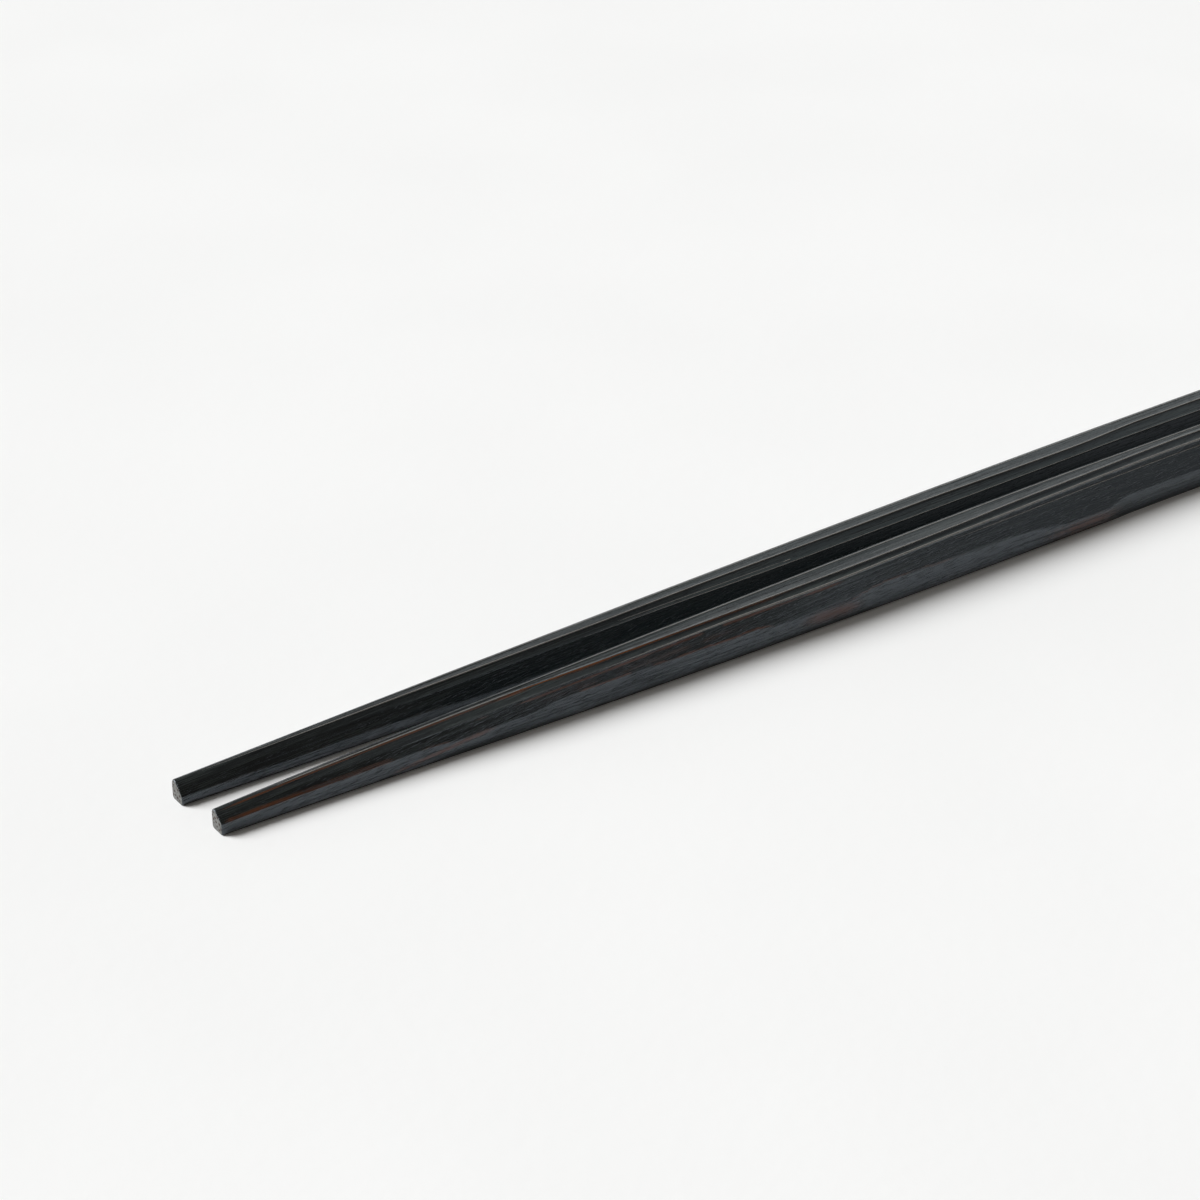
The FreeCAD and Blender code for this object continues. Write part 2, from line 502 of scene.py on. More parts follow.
@dataclass(frozen=True)
class Bend:
    """A sharp corner of one section, with the ways to the corners before and after it."""

    vertex: Vector
    before: Vector
    after: Vector

    def outward(self) -> Vector:
        """The way out of the section."""
        return -(self.before + self.after).normalized()

    def half_turn(self) -> float:
        """Half of the angle that the outline turns by."""
        return (math.pi - self.before.angle(self.after)) / 2

    def rounded(self, radius: float, steps: int) -> list[Vector]:
        """Rounds the corner off.

        Args:
            radius: The radius of the rounding.
            steps: How many straight pieces it has.

        Returns:
            Points from the face before the corner to the face after it.
        """
        outward, half_turn = self.outward(), self.half_turn()
        centre = self.vertex - outward * radius / math.cos(half_turn)
        side = Vector((outward.y, -outward.x))
        if side.dot(self.after) < 0:
            side = -side
        curve = []
        for step in range(steps + 1):
            angle = half_turn * (step / steps * 2 - 1)
            curve.append(centre + (outward * math.cos(angle) + side * math.sin(angle)) * radius)
        return curve


@dataclass(frozen=True)
class Stroke:
    """One knife stroke along the lower near side."""

    start: float
    length: float
    depth: float
    face_angle: float
    entry: float
    leave: float
    entry_angle: float
    turn_length: float

    def bite(self, along: float) -> float:
        """How far the knife is in, from 0 to 1."""
        from_start = (along - self.start) / self.entry
        to_end = (self.start + self.length - along) / self.leave
        return ease(from_start) * ease(to_end)

    def angle(self, along: float) -> float:
        """Angle from straight up to the way the face looks. The blade turns while it goes in."""
        turned = ease((along - self.start) / self.turn_length)
        return math.radians(self.entry_angle + (self.face_angle - self.entry_angle) * turned)


@dataclass(frozen=True)
class WornLine:
    """Lacquer worn thin along a line. `around` counts corners, with shares of the face between. With
    a stroke it is the distance below that stroke's upper border instead."""

    around: Knots
    start: float
    end: float
    width: float
    strength: float
    broken: float
    fade: float
    stroke: int = -1


@dataclass(frozen=True)
class SurfacePoint:
    """One point of a section: its place across and up, where it is around the stick in corners and
    in metres, and the number of the knife stroke that shaped it, or -1."""

    across: float
    up: float
    around: float
    around_length: float
    shaved_by: int


@dataclass
class Chopstick:
    """One hand-shaved stick. Lengths are in metres and count from its tip."""

    node: str
    tip: Vector
    turn: float
    taper_length: float
    taper_power: float
    strip_edge: Knots
    shoulder_edge: Knots
    shoulder_height: Knots
    cheek_edge: Knots
    cheek_height: Knots
    bow: Knots
    back_edge: Knots
    foot_edge: Knots
    sole_edge: Knots
    back_softness: float
    strip_ridge: float
    shoulder_ridge: float
    strip_hollow: float
    flute_hollow: float
    strokes: tuple[Stroke, ...]
    worn_lines: tuple[WornLine, ...]
    seed: int
    # The lacquer's own black, with painted light added where a stick's dark faces have to look
    # brighter.
    lacquer_colour_with_painted_light: tuple
    head_width: float
    length: float = 230.0 * MM
    tip_width: float = 2.65 * MM
    tip_height: float = 2.85 * MM
    head_height: float = 6.6 * MM
    tip_edge_cut: float = 0.14 * MM
    dome_length: float = 1.5 * MM
    dome_inset: float = 1.0 * MM
    ridge_back: float = 0.42 * MM
    ridge_front: float = 0.12 * MM
    ridge_hollow: float = 1.6
    ridge_start_share: float = 0.3
    ridge_rise: tuple[float, float] = (10.0 * MM, 50.0 * MM)
    corner_softness: float = 0.12
    cheek_softness: float = 0.45
    tip_softness: float = 0.30
    tip_rub: float = 0.20
    tip_wear_length: float = 45.0 * MM
    stroke_clearance: float = 0.30 * MM
    sole_depth: float = 0.04 * MM
    sawn_share: float = 0.93
    station_step: float = 0.6 * MM
    facet_steps: tuple[int, ...] = (18, 14, 20, 14, 3, 8, 3, 8, 4)
    soft_steps: int = 5
    cheek_steps: int = 9
    ridge_steps: int = 10
    fibre_relief: float = 0.006 * MM
    fibre_run: float = 14.0 * MM
    fibre_pitch: float = 0.28 * MM
    waver_relief: float = 0.020 * MM
    waver_run: float = 22.0 * MM
    waver_pitch: float = 0.8
    wear_run: float = 4.0 * MM
    wear_spread: float = 900.0
    wear_falloff: float = 0.7
    wear_blur: float = 0.2
    corners: tuple[Corner, ...] = field(init=False)

    def __post_init__(self) -> None:
        """Sets out the corners of the section."""
        soft = self.corner_softness
        self.corners = (
            Corner(self.back_edge, still(0.96), self.back_softness),
            Corner(self.strip_edge, still(1.00), soft, Edge.RIDGE, self.strip_ridge),
            Corner(self.shoulder_edge, self.shoulder_height, soft, Edge.RIDGE, self.shoulder_ridge),
            Corner(self.cheek_edge, self.cheek_height, self.cheek_softness),
            Corner(self.foot_edge, millimetres((0, -0.72), (25, -0.82), (45, -0.90)), soft),
            Corner(self.sole_edge, still(-1.00), soft),
            Corner(still(-0.80), still(-1.00), soft),
            Corner(still(-1.00), still(-0.80), soft),
            Corner(still(-1.00), still(0.66), soft),
        )

    def thickness(self, along: float, tip_size: float, head_size: float) -> float:
        """Width or height at a distance from the tip."""
        part_way = min(max(along / self.taper_length, 0.0), 1.0)
        return tip_size + (head_size - tip_size) * (1.0 - (1.0 - part_way) ** self.taper_power)

    def size_share(self, along: float) -> float:
        """The width at a distance from the tip, as a share of the head's."""
        return self.thickness(along, self.tip_width, self.head_width) / self.head_width

    def corner_points(self, along: float, inset: float) -> list[Vector]:
        """Sets out the sharp corners of one section.

        Args:
            along: Distance from the tip.
            inset: How far the section is drawn in.

        Returns:
            The corners in order, as across and up.
        """
        half_width = self.thickness(along, self.tip_width, self.head_width) / 2
        half_height = self.thickness(along, self.tip_height, self.head_height) / 2
        lean = along_knots(self.bow, along)
        return [
            Vector((
                lean + along_knots(corner.across, along) * (half_width - inset),
                half_height - self.sole_depth + along_knots(corner.up, along) * (half_height - inset),
            ))
            for corner in self.corners
        ]

    def corner_curve(
        self, index: int, points: list[Vector], along: float, inset: float
    ) -> list[Vector]:
        """The finished curve of one corner.

        Args:
            index: Which corner.
            points: The unsoftened corners of this section.
            along: Distance from the tip.
            inset: How far the section is drawn in.

        Returns:
            Points from the face before the corner to the face after it.
        """
        corner, vertex = self.corners[index], points[index]
        before = (points[index - 1] - vertex).normalized()
        after = (points[(index + 1) % len(points)] - vertex).normalized()
        bend = Bend(vertex, before, after)
        half_size = self.thickness(along, self.tip_width, self.head_width) / 2
        wear = max(1.0 - along / self.tip_wear_length, 0.0)
        if corner.edge is Edge.RIDGE:
            rubbed = wear**2 * self.tip_rub * half_size
            return self.ridge_curve(bend, corner.ridge_height, along, rubbed)
        softness = corner.softness + max(self.tip_softness - corner.softness, 0.0) * wear
        steps = self.cheek_steps if index == Around.CHEEK else self.soft_steps
        return bend.rounded(softness * (half_size - inset), steps)

    def ridge_curve(
        self, bend: Bend, height: float, along: float, rubbed: float
    ) -> list[Vector]:
        """Raises a ridge on a corner.

        Args:
            bend: The sharp corner.
            height: How high the ridge stands where the stick has its full size.
            along: Distance from the tip.
            rubbed: How far use has rubbed the ridge off.

        Returns:
            Points from the face before the corner to the face after it.
        """
        size_share, risen = self.size_share(along), self.risen(along)
        growth = size_share * (self.ridge_start_share + (1 - self.ridge_start_share) * risen)
        rise = risen * height * size_share
        outward, half_turn = bend.outward(), bend.half_turn()
        curve = []
        for step in range(self.ridge_steps + 1):
            place = step / self.ridge_steps * 2 - 1
            if place < 0:
                base = bend.vertex + bend.before * (-place * (self.ridge_back * growth + rubbed))
                crest = (1 + place) ** self.ridge_hollow
            else:
                base = bend.vertex + bend.after * (place * (self.ridge_front * growth + rubbed))
                crest = 0.5 + 0.5 * math.cos(math.pi * place)
            blunt = rubbed * math.tan(half_turn) * 0.5 * (1 - abs(place)) ** 2
            curve.append(base + outward * (rise * crest - blunt))
        return curve

    def risen(self, along: float) -> float:
        """How far the ridges and hollows have come up from the smooth tip, from 0 to 1."""
        low, high = self.ridge_rise
        return ease((along - low) / (high - low))

    def hollow(self, index: int, along: float) -> float:
        """How deep the face after a corner is hollowed."""
        depths = {Around.REAR_TOP: self.strip_hollow, Around.STRIP_EDGE: self.flute_hollow}
        return depths.get(index, 0.0) * self.risen(along) * self.size_share(along)

    def shave(self, point: Vector, along: float, points: list[Vector]) -> tuple[Vector, int]:
        """Moves a point onto the face of any knife stroke that passes under it.

        Args:
            point: Across and up.
            along: Distance from the tip.
            points: The unsoftened corners of this section.

        Returns:
            The point after the strokes, and the number of the last one that moved it, or -1.
        """
        shaved_by = -1
        for number, stroke in enumerate(self.strokes):
            bite = stroke.bite(along)
            if bite <= 0.0:
                continue
            angle = stroke.angle(along)
            outward = Vector((math.sin(angle), math.cos(angle)))
            surface = max(corner.dot(outward) for corner in points)
            level = surface + self.stroke_clearance - (self.stroke_clearance + stroke.depth) * bite
            over = point.dot(outward) - level
            if over > 0:
                point = point - outward * over
                shaved_by = number
        return point, shaved_by

    def relief(self, along: float, around_length: float, around: float) -> float:
        """Height of the fibres and of the slow waver that the knife left.

        Args:
            along: Distance from the tip.
            around_length: Distance around the section.
            around: Place around the section in corners.

        Returns:
            How far the surface stands out.
        """
        if Around.NEAR_FOOT < around < Around.REAR_FOOT:
            return 0.0
        fibre_place = (along / self.fibre_run, around_length / self.fibre_pitch, self.seed)
        waver_place = (along / self.waver_run, around * self.waver_pitch, self.seed + WAVER_SEED)
        fibre = noise.noise(Vector(fibre_place)) * self.fibre_relief
        waver = noise.noise(Vector(waver_place)) * self.waver_relief
        return (fibre + waver) * self.size_share(along)

    def section(self, along: float, inset: float = 0.0) -> list[SurfacePoint]:
        """One finished section.

        Args:
            along: Distance from the tip.
            inset: How far the section is drawn in.

        Returns:
            Its points in order.
        """
        points = self.corner_points(along, inset)
        count = len(points)
        curves = [self.corner_curve(index, points, along, inset) for index in range(count)]
        flat: list[tuple[Vector, float]] = []
        for index, curve in enumerate(curves):
            for step, point in enumerate(curve):
                turned = step / (len(curve) - 1) * 2 - 1
                flat.append((point, index + CORNER_REACH * turned))
            start = curve[-1]
            end = curves[(index + 1) % count][0]
            steps = self.facet_steps[index]
            run = (end - start).normalized()
            inward = Vector((run.y, -run.x)) * (self.hollow(index, along) if inset == 0.0 else 0.0)
            for step in range(1, steps):
                share = step / steps
                dip = inward * (4.0 * share * (1.0 - share))
                around = index + CORNER_REACH + (1 - 2 * CORNER_REACH) * share
                flat.append((start.lerp(end, share) + dip, around))
        shaved = [(*self.shave(point, along, points), around) for point, around in flat]
        section = []
        around_length = 0.0
        total = len(shaved)
        for number, (point, shaved_by, around) in enumerate(shaved):
            ahead = shaved[(number + 1) % total][0]
            behind = shaved[number - 1][0]
            around_length += (point - behind).length if number else 0.0
            run = ahead - behind
            outward = Vector((-run.y, run.x)).normalized() if run.length else Vector((0, 0))
            if inset == 0.0:
                point = point + outward * self.relief(along, around_length, around)
            section.append(
                SurfacePoint(point.x, max(point.y, 0.0), around, around_length, shaved_by)
            )
        return section

    def place(self, along: float, across: float, up: float) -> Vector:
        """Turns stick coordinates into the frame's. The near side looks to -Y.

        Args:
            along: Distance from the tip.
            across: Distance from the stick's middle line to the near side.
            up: Height above the floor.

        Returns:
            The place in the frame.
        """
        side = -across
        return self.tip + Vector((
            along * math.cos(self.turn) - side * math.sin(self.turn),
            along * math.sin(self.turn) + side * math.cos(self.turn),
            up,
        ))

    def stations(self) -> list[tuple[float, float, float]]:
        """Where the sections stand.

        Returns:
            For each one, its place along the stick, the distance from the tip whose thickness it
            takes, and its inset.
        """
        listed = []
        cut = self.tip_edge_cut
        for step in range(EDGE_STEPS):
            angle = math.pi / 2 * step / EDGE_STEPS
            listed.append((cut * (1 - math.cos(angle)), cut, cut * (1 - math.sin(angle))))
        foot = self.length - self.dome_length
        count = round((foot - cut) / self.station_step)
        for step in range(count + 1):
            along = cut + (foot - cut) * step / count
            listed.append((along, along, 0.0))
        for step in range(1, DOME_STEPS + 1):
            angle = DOME_TURN * step / DOME_STEPS
            rise = self.dome_length * math.sin(angle) / math.sin(DOME_TURN)
            inset = self.dome_inset * (1 - math.cos(angle)) / (1 - math.cos(DOME_TURN))
            listed.append((foot + rise, foot, inset))
        return listed

    def wear_of(self, along: float, section: list[SurfacePoint]) -> list[float]:
        """How much of the lacquer is worn away at each point of a section.

        Args:
            along: Distance from the tip.
            section: The section there.

        Returns:
            Wear from 0 to 1, in the section's order.
        """
        worn = [0.0] * len(section)
        for line in self.worn_lines:
            if not line.start <= along <= line.end:
                continue
            if line.stroke >= 0:
                shaped = [point.around_length for point in section if point.shaved_by == line.stroke]
                if not shaped:
                    continue
                middle = min(shaped) + along_knots(line.around, along)
            else:
                target = along_knots(line.around, along)
                middle = min(section, key=lambda point: abs(point.around - target)).around_length
            fade = min(1.0, (along - line.start) / line.fade, (line.end - along) / line.fade)
            spot = (along / self.wear_run, line.start * self.wear_spread, self.seed + WEAR_SEED)
            chance = 0.5 + noise.noise(Vector(spot))
            kept = ease((chance - line.broken + self.wear_blur) / (2 * self.wear_blur))
            strength = line.strength * fade * kept
            for number, point in enumerate(section):
                apart = abs(point.around_length - middle) / line.width
                if apart < 1.0:
                    here = strength * (1.0 - apart) ** self.wear_falloff
                    worn[number] = max(worn[number], here)
        return worn

    def skin(self) -> tuple[bpy.types.Object, list[list[Vector]]]:
        """Builds the whole outer surface as one closed mesh.

        Returns:
            The object, and its rings of points for what follows the surface.
        """
        rings: list[list[Vector]] = []
        sections: list[list[SurfacePoint]] = []
        places = self.stations()
        for at, along, inset in places:
            section = self.section(along, inset)
            sections.append(section)
            rings.append([self.place(at, point.across, point.up) for point in section])
        count = len(rings[0])
        vertices = [point for ring in rings for point in ring]
        faces = []
        for ring_number in range(len(rings) - 1):
            base = ring_number * count
            for number in range(count):
                ahead = (number + 1) % count
                upper = base + count
                faces.append((base + number, base + ahead, upper + ahead, upper + number))
        side_faces = len(faces)
        for ring_number, flip in ((0, True), (len(rings) - 1, False)):
            base = ring_number * count
            hub = len(vertices)
            vertices.append(sum(rings[ring_number], Vector()) / count)
            for number in range(count):
                pair = (base + number, base + (number + 1) % count)
                faces.append((hub, *(reversed(pair) if flip else pair)))
        made = add_mesh(f"{self.node}_skin", vertices, [], faces)
        mesh = made.data
        self._store_wear(mesh, places, sections)
        self._store_grain(mesh, places, rings)
        for number, face in enumerate(mesh.polygons):
            face.use_smooth = True
            face.material_index = 1 if side_faces <= number < side_faces + count else 0
        work = bmesh.new()
        work.from_mesh(mesh)
        bmesh.ops.recalc_face_normals(work, faces=work.faces)
        work.to_mesh(mesh)
        work.free()
        return made, rings

    def tip_face(self, rings: list[list[Vector]], name: str) -> bpy.types.Object:
        """The flat sawn face of the tip, drawn in a little from its edge.

        Args:
            rings: The rings of the skin.
            name: The object's name.

        Returns:
            A flat mesh that looks away from the stick.
        """
        middle = sum(rings[0], Vector()) / len(rings[0])
        outline = [middle + (point - middle) * self.sawn_share for point in rings[0]]
        made = add_mesh(name, outline, [], [tuple(range(len(outline)))])
        if made.data.polygons[0].normal.x > 0:
            made.data.flip_normals()
        return made

    def _store_wear(
        self,
        mesh: bpy.types.Mesh,
        places: list[tuple[float, float, float]],
        sections: list[list[SurfacePoint]],
    ) -> None:
        """Keeps the wear of each vertex in an attribute.

        Args:
            mesh: The skin's mesh.
            places: Where the sections stand.
            sections: The sections.
        """
        values = []
        for (at, _, _), section in zip(places, sections):
            values.extend(self.wear_of(at, section))
        values.extend((0.0, 0.0))
        layer = mesh.attributes.new(WEAR, "FLOAT", "POINT")
        layer.data.foreach_set("value", values)

    def _store_grain(
        self,
        mesh: bpy.types.Mesh,
        places: list[tuple[float, float, float]],
        rings: list[list[Vector]],
    ) -> None:
        """Keeps the distance along and around the stick in a UV map.

        Args:
            mesh: The skin's mesh.
            places: Where the sections stand.
            rings: The points of each section in the frame.
        """
        count = len(rings[0])
        flat = []
        for (at, _, _), ring in zip(places, rings):
            around = 0.0
            for number, point in enumerate(ring):
                around += (point - ring[number - 1]).length if number else 0.0
                flat.append((at * UV_PER_METRE, around * UV_PER_METRE))
        flat.extend(((0.0, 0.0), (self.length * UV_PER_METRE, 0.0)))
        layer = mesh.uv_layers.new(name=GRAIN_UV)
        for face in mesh.polygons:
            closes = face.index < (len(rings) - 1) * count and face.index % count == count - 1
            for loop_number in face.loop_indices:
                vertex = mesh.loops[loop_number].vertex_index
                along, around = flat[vertex]
                if closes and vertex % count == 0:
                    ring = rings[vertex // count]
                    last = flat[vertex + count - 1][1]
                    around = last + (ring[0] - ring[-1]).length * UV_PER_METRE
                layer.data[loop_number].uv = (along, around)


@dataclass(frozen=True)
class Fibre:
    """One fibre that stands out of the surface."""

    around: float
    start: float
    end: float
    radius: float
    lift: float
    sway: float = 0.0


def fibre(around: float, start: float, end: float, radius: float, lift: float) -> Fibre:
    """A fibre with its lengths in millimetres, straight along the stick."""
    return Fibre(around, start * MM, end * MM, radius * MM, lift * MM)


@dataclass(frozen=True)
class FineFibres:
    """Short fine fibres strewn over the faces that look up and to the near side."""

    count: int = 150
    tip_gap: float = 4.0 * MM
    last_start: float = 30.0 * MM
    head_gap: float = 6.0 * MM
    edge_gap: float = 0.1
    runs: tuple = (5.0 * MM, 34.0 * MM)
    radii_mm: tuple = (0.028, 0.055)
    lift_shares: tuple = (0.3, 0.7)
    sway: float = 0.03

    def strewn(self, seed: int, length: float) -> tuple[Fibre, ...]:
        """Strews the fibres.

        Args:
            seed: Which scatter.
            length: The stick's length.

        Returns:
            The fibres.
        """
        chance = random.Random(seed)
        made = []
        for _ in range(self.count):
            start = chance.uniform(self.tip_gap, length - self.last_start)
            end = start + chance.uniform(*self.runs)
            radius = chance.uniform(*self.radii_mm) * MM
            around = chance.uniform(
                Around.REAR_TOP + self.edge_gap, Around.NEAR_FOOT - self.edge_gap
            )
            lift = radius * chance.uniform(*self.lift_shares)
            end = min(end, length - self.head_gap)
            made.append(Fibre(around, start, end, radius, lift, self.sway))
        return tuple(made)


@dataclass
class FibreCoat:
    """The bamboo fibres that stand proud under the lacquer, laid along a stick's faces."""

    stick: Chopstick
    rings: list[list[Vector]]
    fibres: tuple[Fibre, ...]
    ring_step: int = 2
    short_length: float = 6.0 * MM
    sway_run: float = 30.0 * MM
    sway_spread: float = 3.7
    end_share: float = 0.1
    end_rate: float = 8.0

    def paths(self, name: str) -> bpy.types.Object:
        """Draws each fibre as a line on the surface, with its thickness at every point.

        Args:
            name: The object's name.

        Returns:
            A mesh of edges only.
        """
        stick = self.stick
        marks = [point.around for point in stick.section(stick.length / 2)]
        stations = [at for at, _, _ in stick.stations()]
        vertices: list[tuple[float, float, float]] = []
        edges: list[tuple[int, int]] = []
        widths: list[float] = []
        for order, strand in enumerate(self.fibres):
            last = None
            step = self.ring_step if strand.end - strand.start > self.short_length else 1
            for row in range(EDGE_STEPS, len(stations) - DOME_STEPS - 1, step):
                along = stations[row]
                if not strand.start <= along <= strand.end:
                    continue
                spot = (along / self.sway_run, order * self.sway_spread, stick.seed)
                around = strand.around + noise.noise(Vector(spot)) * strand.sway
                point, outward = self._on_surface(row, marks, around)
                part = (along - strand.start) / (strand.end - strand.start)
                full = min(1.0, self.end_rate * part, self.end_rate * (1 - part))
                taper = full * (1 - self.end_share) + self.end_share
                radius = strand.radius * taper
                vertices.append(tuple(point + outward * (strand.lift * taper - radius)))
                widths.append(radius)
                if last is not None:
                    edges.append((last, len(vertices) - 1))
                last = len(vertices) - 1
        made = add_mesh(name, vertices, edges, [])
        layer = made.data.attributes.new(THICKNESS, "FLOAT", "POINT")
        layer.data.foreach_set("value", widths)
        return made

    def _on_surface(self, row: int, marks: list[float], around: float) -> tuple[Vector, Vector]:
        """Finds the point of one ring that is nearest to a place around the stick.

        Args:
            row: Which ring.
            marks: The places around of a ring's points, in corners.
            around: The place that is looked for.

        Returns:
            The point, and the way the surface looks there.
        """
        ring = self.rings[row]
        count = len(ring)
        number = min(range(count), key=lambda item: abs(marks[item] - around))
        ahead = ring[(number + 1) % count]
        behind = ring[number - 1]
        run = (ahead - behind).normalized()
        outward = run.cross(Vector((math.cos(self.stick.turn), math.sin(self.stick.turn), 0.0)))
        middle = sum(ring, Vector()) / count
        if outward.dot(ring[number] - middle) < 0:
            outward = -outward
        return ring[number], outward.normalized()


class Growth:
    """A geometry node tree that grows a mesh and dresses it in its Finish input."""

    def __init__(self, name: str, sizes: dict[str, float | int]) -> None:
        """Starts the tree.

        Args:
            name: The tree's name.
            sizes: Its inputs for sizes and their values.
        """
        self.sizes = sizes
        self.tree = bpy.data.node_groups.new(name, "GeometryNodeTree")
        sockets = self.tree.interface
        sockets.new_socket("Geometry", in_out="INPUT", socket_type="NodeSocketGeometry")
        for label, value in sizes.items():
            kind = "NodeSocketInt" if isinstance(value, int) else "NodeSocketFloat"
            sockets.new_socket(label, in_out="INPUT", socket_type=kind).default_value = value
        sockets.new_socket("Finish", in_out="INPUT", socket_type="NodeSocketMaterial")
        sockets.new_socket("Geometry", in_out="OUTPUT", socket_type="NodeSocketGeometry")
        self.graph = Graph(self.tree)
        self.given = self.graph.node("NodeGroupInput").outputs

    def close(self, grown: bpy.types.NodeSocket) -> None:
        """Makes instances real, sets the finish and ends the tree."""
        real = self.graph.node("GeometryNodeRealizeInstances", inputs={"Geometry": grown})
        dressed = self.graph.node(
            "GeometryNodeSetMaterial",
            inputs={"Geometry": real.outputs["Geometry"], "Material": self.given["Finish"]},
        )
        self.graph.node("NodeGroupOutput", inputs={"Geometry": dressed.outputs["Geometry"]})

    def grow(self, source: bpy.types.Object, finish: bpy.types.Material) -> bpy.types.Object:
        """Runs the tree on an object and keeps the result as its plain mesh.

        Args:
            source: The object that the tree starts from.
            finish: The material of what grows.

        Returns:
            The same object with its new mesh.
        """
        modifier = source.modifiers.new("grow", "NODES")
        modifier.node_group = self.tree
        values = {**self.sizes, "Finish": finish}
        for item in self.tree.interface.items_tree:
            if item.item_type == "SOCKET" and item.in_out == "INPUT" and item.name in values:
                modifier[item.identifier] = values[item.name]
        bpy.context.view_layer.update()
        evaluated = source.evaluated_get(bpy.context.evaluated_depsgraph_get())
        mesh = bpy.data.meshes.new_from_object(evaluated)
        source.modifiers.remove(modifier)
        source.data = mesh
        mesh.materials.clear()
        mesh.materials.append(finish)
        for face in mesh.polygons:
            face.use_smooth = True
            face.material_index = 0
        return source


class FibreGrowth(Growth):
    """Gives lines a round body of their own thickness."""

    def __init__(self) -> None:
        """Builds the tree."""
        super().__init__("fibre_tree", {"Thickness Factor": 1.0, "Sides": 8})
        graph, given = self.graph, self.given
        line = graph.node("GeometryNodeMeshToCurve", inputs={"Mesh": given["Geometry"]})
        named = graph.node(
            "GeometryNodeInputNamedAttribute", {"data_type": "FLOAT"}, {"Name": THICKNESS}
        )
        factor = Signal(graph, given["Thickness Factor"])
        profile = graph.node(
            "GeometryNodeCurvePrimitiveCircle",
            {"mode": "RADIUS"},
            {"Resolution": given["Sides"], "Radius": 1.0},
        )
        body = graph.node(
            "GeometryNodeCurveToMesh",
            inputs={
                "Curve": line.outputs["Curve"],
                "Profile Curve": profile.outputs["Curve"],
                "Scale": graph.signal(named, "Attribute") * factor,
                "Fill Caps": True,
            },
        )
        self.close(body.outputs["Mesh"])


class PoreGrowth(Growth):
    """Scatters fibre ends over a sawn face."""

    def __init__(self) -> None:
        """Builds the tree."""
        super().__init__(
            "pore_tree",
            {"Spacing": 0.46 * MM, "Density": 8e6, "Pore Radius": 0.16 * MM, "Flatness": 0.11},
        )
        graph, given = self.graph, self.given
        spots = graph.node(
            "GeometryNodeDistributePointsOnFaces",
            {"distribute_method": "POISSON"},
            {
                "Mesh": given["Geometry"],
                "Distance Min": given["Spacing"],
                "Density Max": given["Density"],
                "Seed": 5,
            },
        )
        pore = graph.node(
            "GeometryNodeMeshIcoSphere", inputs={"Radius": given["Pore Radius"], "Subdivisions": 2}
        )
        spread = graph.signal(
            graph.node(
                "FunctionNodeRandomValue", {"data_type": "FLOAT"}, {2: 0.6, 3: 1.25, "Seed": 11}
            ),
            1,
        )
        size = graph.node(
            "ShaderNodeCombineXYZ", inputs={"X": spread, "Y": spread, "Z": given["Flatness"]}
        )
        placed = graph.node(
            "GeometryNodeInstanceOnPoints",
            inputs={
                "Points": spots.outputs["Points"],
                "Instance": pore.outputs["Mesh"],
                "Rotation": spots.outputs["Rotation"],
                "Scale": size.outputs[0],
            },
        )
        self.close(placed.outputs["Instances"])


